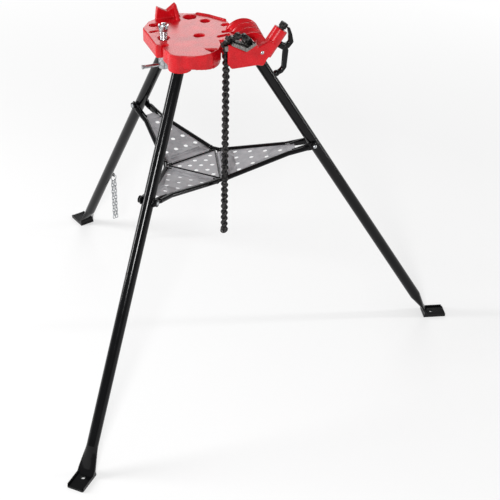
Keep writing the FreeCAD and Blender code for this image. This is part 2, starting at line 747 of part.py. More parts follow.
# ---- legs -------------------------------------------------------------------------------------
def leg():
    """First leg along +X: plugged top, tube, crushed and bent foot with a nail hole."""
    pivot = Vector(leg_axis_radius(leg_pin_height), 0, leg_pin_height)
    down = Vector(math.sin(leg_lean), 0, -math.cos(leg_lean))
    bend = Vector(leg_axis_radius(foot_bend_height), 0, foot_bend_height)
    flat_start = bend - down * foot_flat_length
    tube = rod(pivot, flat_start, leg_radius)
    plug_end = pivot + down * leg_plug
    hollow = rod(plug_end, flat_start, leg_radius - leg_wall)
    dome = Part.makeSphere(leg_radius, pivot)
    half = foot_plate_width / 2
    thick = foot_plate_thickness / 2
    normal = Vector(down.z, 0, -down.x) * -1
    round_end = Part.Wire(Part.makeCircle(leg_radius, flat_start, down))
    corners = [(half, thick), (-half, thick), (-half, -thick), (half, -thick)]
    flat_end = Part.makePolygon([bend + Vector(0, a, 0) + normal * b
                                 for a, b in corners + corners[:1]])
    crush = Part.makeLoft([round_end, flat_end], True, False)
    rims = []
    for side in (-1, 1):
        near, far = sorted((side * half, side * (half - foot_rim)))
        rims.append(box(bend.x, bend.x + foot_plate_reach - foot_corner, near, far,
                        foot_plate_thickness, foot_plate_thickness + foot_rim_height))
    heel = bend.x - foot_heel
    toe = bend.x + foot_plate_reach
    knee = bend.x + foot_knee
    plate = plan([(heel, -half, 0), (toe, -half, foot_corner), (toe, half, foot_corner),
                  (heel, half, 0)], 0, foot_plate_thickness)
    edge = Vector(0, -half, 0)
    knee_line = [bend + normal * thick + edge, bend - normal * thick + edge, Vector(heel, -half, 0),
                 Vector(knee, -half, 0), Vector(knee, -half, foot_plate_thickness)]
    knee = Part.Face(Part.makePolygon(knee_line + knee_line[:1]))
    knee = knee.extrude(Vector(0, foot_plate_width, 0))
    hole = Part.makeCylinder(foot_hole / 2, foot_flat_length, Vector(bend.x + foot_hole_reach, 0, 0))
    side = Vector(0, leg_diameter, 0)
    bore = rod(pivot - side, pivot + side, leg_pin_diameter / 2 + leg_fit)
    body = fused([tube, dome]).cut(hollow)
    body = fused([body, crush, plate, knee] + rims)
    return body.cut([hole, bore])


def leg_pin():
    pivot = Vector(leg_axis_radius(leg_pin_height), 0, leg_pin_height)
    reach = math.sqrt(socket_radius ** 2 - socket_offset ** 2) - leg_pin_recess
    return rod(pivot - Vector(0, reach, 0), pivot + Vector(0, reach, 0), leg_pin_diameter / 2)


# ---- tray -------------------------------------------------------------------------------------
crease_radius = tray_corner_radius / 2
crease_half = tray_corner_radius * math.sin(math.radians(60))
pivot_radius = leg_axis_radius(tray_pivot_height)
wing_slope = math.degrees(math.atan2(tray_pivot_height - tray_height,
                                     pivot_radius - crease_radius))
wing_length = math.hypot(pivot_radius - crease_radius, tray_pivot_height - tray_height)
rod_radius = crease_rod / 2
knuckle_radius = rod_radius + knuckle_wall
rod_half = crease_half - wing_margin


def perforations(places, height):
    return [Part.makeCylinder(tray_hole / 2, crease_rod, Vector(x, y, height - crease_rod / 2))
            for x, y in places]


def knuckles(offset):
    """Sleeves round a crease rod that lies along Y at the origin; offset picks wing or centre."""
    sleeves = []
    spots = (-2, 0, 2) if offset else (-1, 1)
    for spot in spots:
        start = Vector(0, spot * (knuckle_length + tray_play) - knuckle_length / 2, 0)
        sleeve = Part.makeCylinder(knuckle_radius, knuckle_length, start, Vector(0, 1, 0))
        sleeves.append(sleeve)
    return sleeves


def rod_bore():
    return Part.makeCylinder(rod_radius + leg_fit, crease_half * 2, Vector(0, -crease_half, 0),
                             Vector(0, 1, 0))


def knuckle_tabs(spots, start, end, height):
    """Strips of sheet that run from the panel to the sleeves."""
    tabs = []
    for spot in spots:
        middle = spot * (knuckle_length + tray_play)
        tabs.append(box(start, end, middle - knuckle_length / 2, middle + knuckle_length / 2,
                        height - sheet / 2, height + sheet / 2))
    return tabs


def wing_edges():
    """Round bars along both slanting edges of a wing."""
    slant = crease_half / wing_length
    panel_end = wing_length - fork_length
    radius = edge_rod / 2
    start = knuckle_radius + tray_play + radius
    start_half = crease_half - wing_margin - start * slant
    bars = []
    for side in (-1, 1):
        corner = Vector(start, side * start_half, 0)
        end = Vector(panel_end, side * fork_length * slant, 0)
        bars.append(rod(corner, end, radius).fuse(Part.makeSphere(radius, corner)))
    return bars


def tray_wing():
    """Wing in its own flat frame: crease rod along Y at the origin, tip towards +X."""
    slant = crease_half / wing_length
    panel_end = wing_length - fork_length
    end_half = fork_length * slant
    start = knuckle_radius + tray_play
    start_half = crease_half - wing_margin
    panel = plan([(start, -start_half, 0), (panel_end, -end_half, 0), (panel_end, end_half, 0),
                  (start, start_half, 0)], -sheet / 2, sheet / 2)
    pieces = [panel]
    for along, length in wing_ribs:
        pieces.append(rod(Vector(along, -length / 2, sheet / 2), Vector(along, length / 2, sheet / 2),
                          rib_radius))
    pieces += knuckles(True)
    pieces += knuckle_tabs((-2, 0, 2), 0, start + tab_length, 0)
    holes = []
    for row, count in enumerate(wing_holes):
        x = wing_hole_start + row * wing_hole_row
        for number in range(count):
            holes.append((x, (number - (count - 1) / 2) * wing_hole_step))
    frame = [Part.makeCompound(wing_edges())]
    return fused(pieces).cut(perforations(holes, 0) + [rod_bore()] + frame)


def wing_fork(wing):
    """Fork from the wing's end to both sides of the leg, with the pivot's bolt heads."""
    cheek = leg_radius + fork_gap
    outside = cheek + fork_thickness
    start = wing_length - fork_length - fork_overlap
    half = fork_height / 2
    pieces = []
    for side in (-1, 1):
        near, far = sorted((side * cheek, side * outside))
        arm = box(start, wing_length + fork_nose, near, far, -half, half)
        pieces.append(arm.makeFillet(fork_round, [edge for edge in arm.Edges
                                                  if edge.BoundBox.YLength > fork_thickness / 2]))
        pieces.append(Part.makeCylinder(fork_bolt_radius, fork_bolt_head,
                                        Vector(wing_length, side * outside, 0), Vector(0, side, 0)))
    slant = crease_half / wing_length
    panel_end = wing_length - fork_length
    start_half = (wing_length - start) * slant
    end_half = fork_length * slant
    pieces.append(plan([(start, -start_half, 0), (panel_end, -end_half, 0), (panel_end, end_half, 0),
                        (start, start_half, 0)], sheet / 2, sheet / 2 + fork_web))
    return fused(pieces + wing_edges()).cut(wing)


def place_wing(shape, index):
    """From the wing's flat frame to its place at rest."""
    shape = shape.rotated(Vector(0, 0, 0), Vector(0, 1, 0), -wing_slope)
    shape = shape.translated(Vector(crease_radius, 0, tray_height))
    return turned(shape, leg_turn + 360 / leg_count * index)


def tray_centre():
    """Three-cornered middle panel with knuckles along its creases."""
    radius = tray_corner_radius - 2 * (knuckle_radius + tray_play) - edge_rod
    corners = []
    for index in range(leg_count):
        angle = math.radians(leg_turn + 180 / leg_count + 360 / leg_count * index)
        corners.append((radius * math.cos(angle), radius * math.sin(angle), sheet))
    pieces = [plan(corners, tray_height - sheet / 2, tray_height + sheet / 2)]
    bores = []
    crease = Vector(crease_radius, 0, tray_height)
    for index in range(leg_count):
        angle = leg_turn + 360 / leg_count * index
        pieces += [turned(sleeve.translated(crease), angle) for sleeve in knuckles(False)]
        pieces += [turned(tab, angle) for tab in knuckle_tabs(
            (-1, 1), crease_radius - knuckle_radius - tab_length, crease_radius, tray_height)]
        bores.append(turned(rod_bore().translated(crease), angle))
    places = [(0, 0)]
    for ring, spots in centre_holes:
        for number in range(spots):
            angle = math.radians(leg_turn + 180 / leg_count + 360 / spots * number)
            places.append((ring * math.cos(angle), ring * math.sin(angle)))
    return fused(pieces).cut(perforations(places, tray_height) + bores)


def crease_rods():
    rods = []
    for index in range(leg_count):
        start = Vector(crease_radius, -rod_half, tray_height)
        end = Vector(crease_radius, rod_half, tray_height)
        rods.append(turned(rod(start, end, rod_radius), leg_turn + 360 / leg_count * index))
    return Part.makeCompound(rods)


# ---- ceiling brace ----------------------------------------------------------------------------
hub_top = skirt_bottom - brace_guide_drop - brace_hub_gap
hub_bottom = hub_top - brace_hub_length
bar_height = hub_bottom + brace_bar_rise
brace_foot = Vector(brace_x, brace_y, hub_bottom + brace_bore_rise + brace_screw_gap)


def brace_screw():
    """Screw with a four-pronged crown head that bites into a ceiling joist."""
    base = Vector(brace_x, brace_y, brace_head_base)
    shank = Part.makeCylinder(brace_diameter / 2, base.z - brace_foot.z + overcut, brace_foot)
    half = brace_head_width / 2
    head = Part.makeCone(half - brace_taper, half, brace_head_height, base)
    floor = brace_head_height - brace_notch_depth
    for angle in (brace_notch_turn, brace_notch_turn + 90):
        notch = box(-brace_head_width, brace_head_width, -brace_notch / 2, brace_notch / 2,
                    floor, brace_head_height + overcut)
        head = head.cut(turned(notch, angle).translated(base))
    cup = Part.makeCone(brace_taper, half - brace_taper, brace_notch_depth + overcut, base + up * floor)
    return fused([shank, head.cut(cup)])


def brace_hub():
    hub = Part.makeCylinder(brace_hub_diameter / 2, brace_hub_length,
                            Vector(brace_x, brace_y, hub_bottom))
    hub = hub.makeFillet(brace_hub_round, [edge for edge in hub.Edges if len(edge.Vertexes) == 1])
    bore = Part.makeCylinder(brace_diameter / 2 + brace_fit, brace_hub_length,
                             Vector(brace_x, brace_y, hub_bottom + brace_bore_rise))
    centre = Vector(brace_x, brace_y, bar_height)
    side = Vector(brace_hub_diameter, 0, 0)
    cross = rod(centre - side, centre + side, brace_bar_diameter / 2 + brace_fit)
    return hub.cut([bore, cross])


def brace_bar():
    """T-bar pushed over to the left in the hub, with an upset end on each side."""
    right = Vector(brace_x + brace_bar_right, brace_y, bar_height)
    left = right - Vector(brace_bar_length, 0, 0)
    end = Vector(brace_bar_end, 0, 0)
    radius = brace_bar_diameter / 2
    return fused([rod(left, right, radius), rod(left, left + end, radius + brace_bar_upset),
                  rod(right - end, right, radius + brace_bar_upset)])


# ---- keeper chain -----------------------------------------------------------------------------
def keeper_top():
    """Hole of the eye beside the back leg, in the first leg's frame."""
    return Vector(leg_axis_radius(keeper_height), -leg_radius - keeper_offset, keeper_height)


def keeper_eye():
    """Tab on the back leg's tube with a hanging ear."""
    top = keeper_top()
    half = keeper_plate / 2
    wide = keeper_plate_half
    ear = box(top.x - wide, top.x + wide, top.y - half, top.y + half, top.z - wide, top.z + wide)
    tab = box(top.x - wide, top.x + wide, top.y - half, -leg_radius / 2, top.z + wide,
              top.z + wide + keeper_plate)
    side = Vector(0, keeper_plate, 0)
    hole = rod(top - side, top + side, keeper_hole / 2)
    down = Vector(math.sin(leg_lean), 0, -math.cos(leg_lean)) * leg_diameter
    axis_point = Vector(leg_axis_radius(keeper_height), 0, keeper_height)
    return fused([ear, tab]).cut([hole, rod(axis_point - down, axis_point + down, leg_radius)])


def keeper_link(middle, length, width, crosswise):
    outlines = []
    for inset in (0, keeper_wire):
        wide = width / 2 - inset
        tall = length / 2 - inset
        corners = ((-wide, -tall), (wide, -tall), (wide, tall), (-wide, tall))
        outlines.append(rounded_face([(Vector(0, a, b), wide - keeper_play) for a, b in corners]))
    ring = outlines[0].cut(outlines[1]).extrude(Vector(keeper_wire, 0, 0))
    ring = ring.translated(Vector(-keeper_wire / 2, 0, 0))
    if crosswise:
        ring = ring.rotated(Vector(0, 0, 0), up, 90)
    return ring.translated(middle)


def keeper_chain():
    """Ring in the eye with two strands of flat-wire links, each link square to the next."""
    top = keeper_top() - up * (keeper_hole / 2 - keeper_seat)
    ring_middle = top - up * (keeper_ring_length / 2 - keeper_wire)
    links = [keeper_link(ring_middle, keeper_ring_length, keeper_ring_width, False)]
    step = keeper_link_length - 2 * keeper_wire - keeper_play
    first = ring_middle - up * (keeper_ring_length / 2 - keeper_play - 2 * keeper_wire
                                + keeper_link_length / 2)
    spread = (keeper_ring_width - keeper_link_width) / 2 - keeper_play
    for side in (-1, 1):
        strand = first + Vector(0, side * spread, 0)
        links += [keeper_link(strand - up * step * n, keeper_link_length, keeper_link_width, n % 2 == 0)
                  for n in range(keeper_links)]
    return Part.makeCompound(links)


def back_leg(shape):
    return turned(shape, leg_turn + 360 / leg_count * 2)


# ---- assembly ---------------------------------------------------------------------------------
def lead_run():
    plates, studs = chain_run(lead_points(), Vector(0, 1, 0), True)
    return Part.makeCompound(plates + studs[:-1])


def build():
    parts = {}
    parts["base_casting"] = base_casting()
    parts["bender_drum"] = bender_drum()
    parts["vise_yoke"] = vise_yoke()
    parts["pipe_jaw"] = pipe_jaw()
    parts["jaw_pin"] = jaw_pin()
    parts["chain_anchor"] = chain_anchor()
    parts["chain_lug"] = chain_lug()
    parts["chain_lead"] = lead_run()
    plates, pins, ring = vise_chain()
    parts["vise_chain"] = plates
    parts["vise_chain_pins"] = pins
    parts["vise_chain_ring"] = ring
    parts["chain_screw"] = chain_screw()
    parts["handle_stub"] = handle_stub()
    parts["screw_handle"] = screw_handle()
    pins = []
    wing = tray_wing()
    fork = wing_fork(wing)
    for index in range(leg_count):
        angle = leg_turn + 360 / leg_count * index
        parts["leg_%d" % (index + 1)] = turned(leg(), angle)
        pins.append(turned(leg_pin(), angle))
        parts["tray_wing_%d" % (index + 1)] = place_wing(wing, index)
        parts["wing_fork_%d" % (index + 1)] = place_wing(fork, index)
    parts["leg_pins"] = Part.makeCompound(pins)
    parts["tray_centre"] = tray_centre()
    parts["crease_rods"] = crease_rods()
    parts["brace_screw"] = brace_screw()
    parts["brace_hub"] = brace_hub()
    parts["brace_bar"] = brace_bar()
    parts["keeper_eye"] = back_leg(keeper_eye())
    parts["keeper_chain"] = back_leg(keeper_chain())
    return parts


def footprint_shift(parts):
    """Move that puts the middle of the whole footprint on the origin."""
    bounds = FreeCAD.BoundBox()
    for shape in parts.values():
        bounds.add(shape.BoundBox)
    return Vector(-(bounds.XMin + bounds.XMax) / 2, -(bounds.YMin + bounds.YMax) / 2, 0)


def main():
    parts = build()
    shift = footprint_shift(parts)
    for name, shape in parts.items():
        shape.translated(shift).exportStep("parts/%s.step" % name)
        print(name, "valid" if shape.isValid() else "INVALID", "solids", len(shape.Solids))
    print("shift", round(shift.x, 3), round(shift.y, 3))


main()
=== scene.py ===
import math
import bpy
import bmesh
from mathutils import Matrix, Vector


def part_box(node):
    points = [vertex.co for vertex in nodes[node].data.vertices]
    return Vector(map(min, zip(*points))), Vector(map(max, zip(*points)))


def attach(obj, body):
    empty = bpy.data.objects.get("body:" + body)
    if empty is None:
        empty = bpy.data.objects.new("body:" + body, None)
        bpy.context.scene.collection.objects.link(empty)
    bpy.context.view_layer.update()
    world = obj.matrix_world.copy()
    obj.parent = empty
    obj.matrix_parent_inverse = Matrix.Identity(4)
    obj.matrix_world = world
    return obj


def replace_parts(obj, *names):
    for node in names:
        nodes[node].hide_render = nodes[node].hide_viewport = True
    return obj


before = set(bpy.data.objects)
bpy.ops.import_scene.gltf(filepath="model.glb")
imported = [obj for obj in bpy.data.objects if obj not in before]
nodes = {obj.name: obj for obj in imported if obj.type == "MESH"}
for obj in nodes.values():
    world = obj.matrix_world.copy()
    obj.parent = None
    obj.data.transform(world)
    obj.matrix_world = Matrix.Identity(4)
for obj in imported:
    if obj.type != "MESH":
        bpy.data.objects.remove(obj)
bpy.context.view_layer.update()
scene = bpy.context.scene
scene.view_settings.view_transform = "Standard"
mm = 0.001


def linear(hexColour):
    # sRGB hex to linear, with alpha
    parts = [int(hexColour[i:i + 2], 16) / 255 for i in (0, 2, 4)]
    return tuple(c / 12.92 if c <= 0.04045 else ((c + 0.055) / 1.055) ** 2.4 for c in parts) + (1.0,)


def addNode(tree, kind, settings=None, links=None):
    # one node, with its properties or socket values set and its sockets linked
    node = tree.nodes.new(kind)
    for name, value in (settings or {}).items():
        if hasattr(node, name):
            setattr(node, name, value)
        else:
            node.inputs[name].default_value = value
    for socket, source in (links or {}).items():
        tree.links.new(source, node.inputs[socket])
    return node


def newMaterial(name, plainValues):
    # a named material, with the values that don't vary set on its shader
    material = bpy.data.materials.new(name)
    material.use_nodes = True
    tree = material.node_tree
    shader = tree.nodes["Principled BSDF"]
    for socket, value in plainValues.items():
        shader.inputs[socket].default_value = value
    return material, tree, shader


def feedShader(tree, shader, tint, sheen, relief):
    # what a material's patterns give goes to the shader's colour, roughness and normal
    tree.links.new(tint.outputs["Color"], shader.inputs["Base Color"])
    tree.links.new(sheen.outputs["Result"], shader.inputs["Roughness"])
    tree.links.new(relief.outputs["Normal"], shader.inputs["Normal"])


# red gloss enamel sprayed on sand-cast iron: the sand's skin shows through as a soft unevenness,
# the film pools a little darker in hollows and the gloss breaks up over the grains
castEnamelLook = {"light": "CE101C", "dark": "B40A15", "sandMm": 2.6, "waveMm": 26,
                  "sandDepth": 0.14, "waveDepth": 0.25, "roughest": 0.34, "smoothest": 0.2, "ior": 1.38}


def makeCastEnamel():
    look = castEnamelLook
    material, tree, shader = newMaterial("redEnamelOnCastIron", {"IOR": look["ior"]})
    place = addNode(tree, "ShaderNodeTexCoord").outputs["Object"]
    sand = addNode(tree, "ShaderNodeTexNoise", {
        "Scale": 1 / (look["sandMm"] * mm), "Detail": 4.0, "Roughness": 0.6}, {"Vector": place})
    wave = addNode(tree, "ShaderNodeTexNoise", {
        "Scale": 1 / (look["waveMm"] * mm), "Detail": 3.0}, {"Vector": place})
    pool = addNode(tree, "ShaderNodeMapRange", {"From Min": 0.32, "From Max": 0.68},
                   {"Value": wave.outputs["Fac"]})
    tint = addNode(tree, "ShaderNodeMixRGB", {"Color1": linear(look["dark"]),
                                              "Color2": linear(look["light"])},
                   {"Fac": pool.outputs["Result"]})
    sheen = addNode(tree, "ShaderNodeMapRange", {
        "From Min": 0.35, "From Max": 0.65, "To Min": look["smoothest"],
        "To Max": look["roughest"]}, {"Value": sand.outputs["Fac"]})
    waveBump = addNode(tree, "ShaderNodeBump", {"Distance": look["waveDepth"] * mm},
                       {"Height": wave.outputs["Fac"]})
    sandBump = addNode(tree, "ShaderNodeBump", {"Distance": look["sandDepth"] * mm},
                       {"Height": sand.outputs["Fac"], "Normal": waveBump.outputs["Normal"]})
    feedShader(tree, shader, tint, sheen, sandBump)
    return material


# black gloss enamel on drawn steel tube: deep and smooth, with a faint orange peel and handling haze
tubeEnamelLook = {"light": "0C0C0E", "dark": "050506", "peelMm": 3.5, "hazeMm": 70, "peelDepth": 0.012,
                  "roughest": 0.15, "smoothest": 0.08, "ior": 1.3}


def makeTubeEnamel():
    look = tubeEnamelLook
    material, tree, shader = newMaterial("blackEnamelOnSteelTube", {"IOR": look["ior"]})
    place = addNode(tree, "ShaderNodeTexCoord").outputs["Object"]
    peel = addNode(tree, "ShaderNodeTexNoise", {
        "Scale": 1 / (look["peelMm"] * mm), "Detail": 2.0}, {"Vector": place})
    haze = addNode(tree, "ShaderNodeTexNoise", {
        "Scale": 1 / (look["hazeMm"] * mm), "Detail": 4.0, "Roughness": 0.6}, {"Vector": place})
    dust = addNode(tree, "ShaderNodeMapRange", {"From Min": 0.35, "From Max": 0.7},
                   {"Value": haze.outputs["Fac"]})
    tint = addNode(tree, "ShaderNodeMixRGB", {"Color1": linear(look["dark"]),
                                              "Color2": linear(look["light"])},
                   {"Fac": dust.outputs["Result"]})
    sheen = addNode(tree, "ShaderNodeMapRange", {
        "From Min": 0.35, "From Max": 0.65, "To Min": look["smoothest"],
        "To Max": look["roughest"]}, {"Value": haze.outputs["Fac"]})
    skin = addNode(tree, "ShaderNodeBump", {"Distance": look["peelDepth"] * mm},
                   {"Height": peel.outputs["Fac"]})
    feedShader(tree, shader, tint, sheen, skin)
    return material


# stove enamel on pressed sheet: satin grey, slightly mottled, scuffed by the tools laid on it
sheetEnamelLook = {"light": "A0A0A3", "dark": "86868A", "scuff": "BCBCBE", "mottleMm": 22, "scuffMm": 4,
                   "scuffStretch": (1.0, 0.12, 1.0), "scuffTurn": (0, 0, 0.6), "peelMm": 2.5,
                   "peelDepth": 0.05, "roughest": 0.58, "smoothest": 0.4, "ior": 1.5}


def makeSheetEnamel():
    look = sheetEnamelLook
    material, tree, shader = newMaterial("greyEnamelOnPressedSheet", {"IOR": look["ior"]})
    place = addNode(tree, "ShaderNodeTexCoord").outputs["Object"]
    mottle = addNode(tree, "ShaderNodeTexNoise", {
        "Scale": 1 / (look["mottleMm"] * mm), "Detail": 5.0, "Roughness": 0.6}, {"Vector": place})
    peel = addNode(tree, "ShaderNodeTexNoise", {
        "Scale": 1 / (look["peelMm"] * mm), "Detail": 2.0}, {"Vector": place})
    patch = addNode(tree, "ShaderNodeMapRange", {"From Min": 0.35, "From Max": 0.65},
                    {"Value": mottle.outputs["Fac"]})
    tint = addNode(tree, "ShaderNodeMixRGB", {"Color1": linear(look["dark"]),
                                              "Color2": linear(look["light"])},
                   {"Fac": patch.outputs["Result"]})
    stretch = addNode(tree, "ShaderNodeMapping", {
        "Scale": look["scuffStretch"], "Rotation": look["scuffTurn"]}, {"Vector": place})
    scratch = addNode(tree, "ShaderNodeTexNoise", {
        "Scale": 1 / (look["scuffMm"] * mm), "Detail": 6.0, "Roughness": 0.7},
        {"Vector": stretch.outputs["Vector"]})
    rubbed = addNode(tree, "ShaderNodeMapRange", {"From Min": 0.6, "From Max": 0.75, "To Max": 0.6},
                     {"Value": scratch.outputs["Fac"]})
    worn = addNode(tree, "ShaderNodeMixRGB", {"Color2": linear(look["scuff"])},
                   {"Fac": rubbed.outputs["Result"], "Color1": tint.outputs["Color"]})
    sheen = addNode(tree, "ShaderNodeMapRange", {
        "From Min": 0.35, "From Max": 0.65, "To Min": look["smoothest"],
        "To Max": look["roughest"]}, {"Value": mottle.outputs["Fac"]})
    skin = addNode(tree, "ShaderNodeBump", {"Distance": look["peelDepth"] * mm},
                   {"Height": peel.outputs["Fac"]})
    feedShader(tree, shader, worn, sheen, skin)
    return material


# hardened leaf chain, blued and oiled: dark, with brighter patches where plates rub
oiledChainLook = {"light": "5E5C5A", "dark": "1A1A1C", "rubMm": 6, "pitMm": 1.2, "pitDepth": 0.06,
                  "roughest": 0.46, "smoothest": 0.26}


def makeOiledChain():
    look = oiledChainLook
    material, tree, shader = newMaterial("oiledBluedSteel", {"Metallic": 1.0})
    place = addNode(tree, "ShaderNodeTexCoord").outputs["Object"]
    rub = addNode(tree, "ShaderNodeTexNoise", {
        "Scale": 1 / (look["rubMm"] * mm), "Detail": 4.0, "Roughness": 0.65}, {"Vector": place})
    pit = addNode(tree, "ShaderNodeTexNoise", {
        "Scale": 1 / (look["pitMm"] * mm), "Detail": 3.0}, {"Vector": place})
    bright = addNode(tree, "ShaderNodeMapRange", {"From Min": 0.42, "From Max": 0.72},
                     {"Value": rub.outputs["Fac"]})
    tint = addNode(tree, "ShaderNodeMixRGB", {"Color1": linear(look["dark"]),
                                              "Color2": linear(look["light"])},
                   {"Fac": bright.outputs["Result"]})
    sheen = addNode(tree, "ShaderNodeMapRange", {"To Min": look["roughest"], "To Max": look["smoothest"]},
                    {"Value": bright.outputs["Result"]})
    pits = addNode(tree, "ShaderNodeBump", {"Distance": look["pitDepth"] * mm},
                   {"Height": pit.outputs["Fac"]})
    feedShader(tree, shader, tint, sheen, pits)
    return material


# drop-forged jaw, heat-blackened; its faces turned to the front carry painted light, a lighter grey in
# streaks
jawIronLook = {"scale": "232221", "rubbed": "6A6662", "paintedLightGrey": "9C9A97", "scaleMm": 5, "litStreakMm": 1.4,
               "litStreakStretch": (1.0, 1.0, 0.15), "endFaceBelow": -0.95, "pitMm": 1.5, "pitDepth": 0.1,
               "roughest": 0.52, "smoothest": 0.3}


def makeJawIron():
    look = jawIronLook
    material, tree, shader = newMaterial("blackenedForgedIron", {"Metallic": 1.0})
    place = addNode(tree, "ShaderNodeTexCoord")
    scale = addNode(tree, "ShaderNodeTexNoise", {
        "Scale": 1 / (look["scaleMm"] * mm), "Detail": 5.0, "Roughness": 0.65},
        {"Vector": place.outputs["Object"]})
    pit = addNode(tree, "ShaderNodeTexNoise", {
        "Scale": 1 / (look["pitMm"] * mm), "Detail": 3.0}, {"Vector": place.outputs["Object"]})
    bright = addNode(tree, "ShaderNodeMapRange", {"From Min": 0.42, "From Max": 0.7},
                     {"Value": scale.outputs["Fac"]})
    tint = addNode(tree, "ShaderNodeMixRGB", {"Color1": linear(look["scale"]),
                                              "Color2": linear(look["rubbed"])},
                   {"Fac": bright.outputs["Result"]})
    # painted light: the faces turned to the front, picked by their normal, take a lighter streaked grey
    facing = addNode(tree, "ShaderNodeSeparateXYZ", {}, {"Vector": place.outputs["Normal"]})
    endFace = addNode(tree, "ShaderNodeMath", {"operation": "LESS_THAN"}, {0: facing.outputs["Y"]})
    endFace.inputs[1].default_value = look["endFaceBelow"]
    streaks = addNode(tree, "ShaderNodeMapping", {"Scale": look["litStreakStretch"]},
                      {"Vector": place.outputs["Object"]})
    litStreakNoise = addNode(tree, "ShaderNodeTexNoise", {
        "Scale": 1 / (look["litStreakMm"] * mm), "Detail": 4.0}, {"Vector": streaks.outputs["Vector"]})
    paintedLightStreaks = addNode(tree, "ShaderNodeMapRange", {"From Min": 0.3, "From Max": 0.6},
                    {"Value": litStreakNoise.outputs["Fac"]})
    share = addNode(tree, "ShaderNodeMath", {"operation": "MULTIPLY"},
                    {0: endFace.outputs["Value"], 1: paintedLightStreaks.outputs["Result"]})
    finish = addNode(tree, "ShaderNodeMixRGB", {"Color2": linear(look["paintedLightGrey"])},
                     {"Fac": share.outputs["Value"], "Color1": tint.outputs["Color"]})
    sheen = addNode(tree, "ShaderNodeMapRange", {"To Min": look["roughest"], "To Max": look["smoothest"]},
                    {"Value": bright.outputs["Result"]})
    pits = addNode(tree, "ShaderNodeBump", {"Distance": look["pitDepth"] * mm},
                   {"Height": pit.outputs["Fac"]})
    feedShader(tree, shader, finish, sheen, pits)
    return material


# bright zinc plate on turned steel: pale, slightly blue, the turning marks blurred by the plate
zincLook = {"light": "CCCED0", "dark": "94979A", "cloudMm": 8, "turningMm": 0.9, "turningDepth": 0.03,
            "turningStretch": (0.08, 0.08, 1.0), "roughest": 0.34, "smoothest": 0.2}


def makeZinc():
    look = zincLook
    material, tree, shader = newMaterial("brightZincPlate", {"Metallic": 1.0})
    place = addNode(tree, "ShaderNodeTexCoord").outputs["Object"]
    cloud = addNode(tree, "ShaderNodeTexNoise", {
        "Scale": 1 / (look["cloudMm"] * mm), "Detail": 4.0, "Roughness": 0.6}, {"Vector": place})
    flat = addNode(tree, "ShaderNodeMapping", {"Scale": look["turningStretch"]}, {"Vector": place})
    turning = addNode(tree, "ShaderNodeTexNoise", {
        "Scale": 1 / (look["turningMm"] * mm), "Detail": 2.0}, {"Vector": flat.outputs["Vector"]})
    patch = addNode(tree, "ShaderNodeMapRange", {"From Min": 0.33, "From Max": 0.67},
                    {"Value": cloud.outputs["Fac"]})
    tint = addNode(tree, "ShaderNodeMixRGB", {"Color1": linear(look["dark"]),
                                              "Color2": linear(look["light"])},
                   {"Fac": patch.outputs["Result"]})
    sheen = addNode(tree, "ShaderNodeMapRange", {"To Min": look["roughest"], "To Max": look["smoothest"]},
                    {"Value": patch.outputs["Result"]})
    marks = addNode(tree, "ShaderNodeBump", {"Distance": look["turningDepth"] * mm},
                    {"Height": turning.outputs["Fac"]})
    feedShader(tree, shader, tint, sheen, marks)
    return material


castEnamel = makeCastEnamel()
tubeEnamel = makeTubeEnamel()
sheetEnamel = makeSheetEnamel()
oiledChain = makeOiledChain()
jawIron = makeJawIron()
zincPlate = makeZinc()
print("materials ready")

finishes = {
    castEnamel: ("base_casting", "bender_drum", "vise_yoke"),
    tubeEnamel: ("leg_1", "leg_2", "leg_3", "wing_fork_1", "wing_fork_2", "wing_fork_3",
                 "screw_handle", "keeper_eye"),
    sheetEnamel: ("tray_centre", "tray_wing_1", "tray_wing_2", "tray_wing_3"),
    oiledChain: ("vise_chain", "vise_chain_pins", "vise_chain_ring", "chain_lead", "chain_screw",
                 "handle_stub", "leg_pins", "crease_rods"),
    jawIron: ("pipe_jaw", "chain_anchor", "chain_lug"),
    zincPlate: ("brace_screw", "brace_hub", "brace_bar", "keeper_chain", "jaw_pin"),
}
for finish, names in finishes.items():
    for name in names:
        node = nodes[name]
        for slot in node.material_slots:
            slot.material = finish
        if not node.material_slots:
            node.data.materials.append(finish)
print("solids dressed")


# distances within which points count as one, and the angle from which an edge shades as a corner
tolerances = {"solidMm": 0.002, "planeMm": 0.001, "pieceMm": 0.005, "cornerDegrees": 40}


def putInScene(name, work, material, body):
    # a bmesh becomes a smooth-shaded piece that rides on a body
    mesh = bpy.data.meshes.new(name)
    work.to_mesh(mesh)
    work.free()
    piece = bpy.data.objects.new(name, mesh)
    scene.collection.objects.link(piece)
    mesh.materials.append(material)
    for face in mesh.polygons:
        face.use_smooth = True
    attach(piece, body)
    return piece


def applyModifiers(piece):
    # what the modifiers give becomes the piece's own mesh
    graph = bpy.context.evaluated_depsgraph_get()
    finished = bpy.data.meshes.new_from_object(piece.evaluated_get(graph))
    piece.modifiers.clear()
    piece.data = finished


def copyOfNode(nodeName):
    # the solid's own mesh with its loose triangles joined up
    work = bmesh.new()
    work.from_mesh(nodes[nodeName].data)
    bmesh.ops.remove_doubles(work, verts=work.verts, dist=tolerances["solidMm"] * mm)
    return work


def cutAway(work, height, keepAbove):
    # everything on one side of a level plane goes, and the cut is closed
    cut = bmesh.ops.bisect_plane(
        work, geom=work.verts[:] + work.edges[:] + work.faces[:], dist=tolerances["planeMm"] * mm,
        plane_co=(0, 0, height), plane_no=(0, 0, 1), clear_inner=keepAbove, clear_outer=not keepAbove)
    rim = [item for item in cut["geom_cut"] if isinstance(item, bmesh.types.BMEdge)]
    bmesh.ops.holes_fill(work, edges=rim, sides=0)


def soften(piece, settings):
    # the rounded edges and slightly sunk corners that a sand mould or a die leaves
    remesh = piece.modifiers.new("skin", "REMESH")
    remesh.mode = "VOXEL"
    remesh.voxel_size = settings["voxelMm"] * mm
    remesh.use_smooth_shade = True
    smooth = piece.modifiers.new("soften", "SMOOTH")
    smooth.factor = 0.5
    smooth.iterations = settings["passes"]
    applyModifiers(piece)


